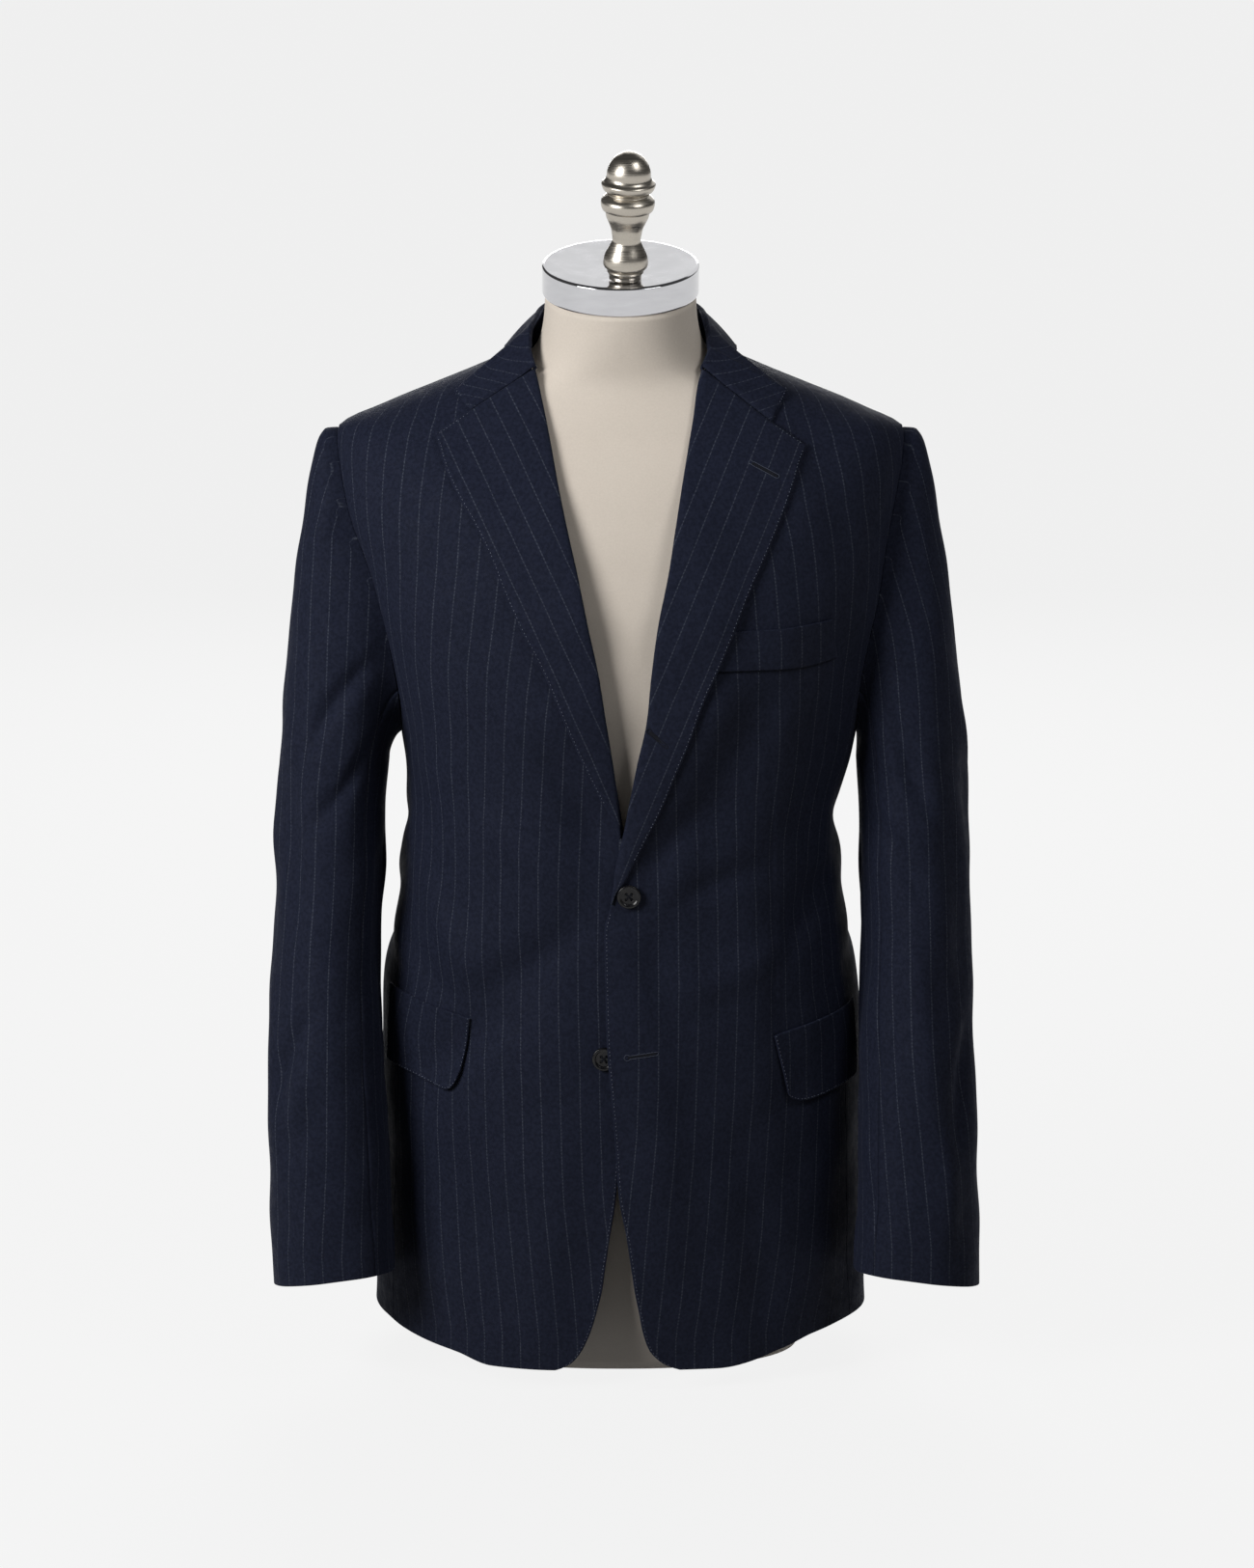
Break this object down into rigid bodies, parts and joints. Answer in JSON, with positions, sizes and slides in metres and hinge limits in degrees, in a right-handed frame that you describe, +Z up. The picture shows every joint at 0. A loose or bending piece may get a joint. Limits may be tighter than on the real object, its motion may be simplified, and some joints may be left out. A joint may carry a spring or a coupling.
{
  "type": "chalk stripe suit jacket on dress form",
  "caption": "Buttoned single-breasted jacket with notch lapels and flap pockets, worn by a limbless torso form with a capped neck and turned finial.",
  "frame": {"origin": "on the floor plane, in the middle of the dress form's flat base", "axes": "+Z up, -Y is the front of the jacket, +X is the wearer's left"},
  "size_m": [0.5295, 0.272, 0.9105],
  "materials": {
    "suiting": "navy worsted wool with fine pale chalk stripes about 14.6 mm apart, soft nap, slight sheen",
    "button_horn": "black-brown imitation horn, satin, four holes and a raised rim",
    "form_canvas": "natural cream canvas stretched smooth over a hard shell",
    "cap_chrome": "polished",
    "finial_nickel": "turned and brushed nickel"
  },
  "bodies": {
    "root": {"front_left": "suiting", "front_right": "suiting", "side_left": "suiting", "side_right": "suiting", "back_left": "suiting", "back_right": "suiting", "sleeve_top_left": "suiting", "sleeve_top_right": "suiting", "sleeve_under_left": "suiting", "sleeve_under_right": "suiting", "lapel_left": "suiting", "lapel_right": "suiting", "pocket_flap_left": "suiting", "pocket_flap_right": "suiting", "breast_welt": "suiting", "collar": "suiting", "button_middle": "button_horn", "button_lower": "button_horn", "form_torso": "form_canvas", "neck_cap": "cap_chrome", "finial": "finial_nickel"}
  },
  "joints": []
}
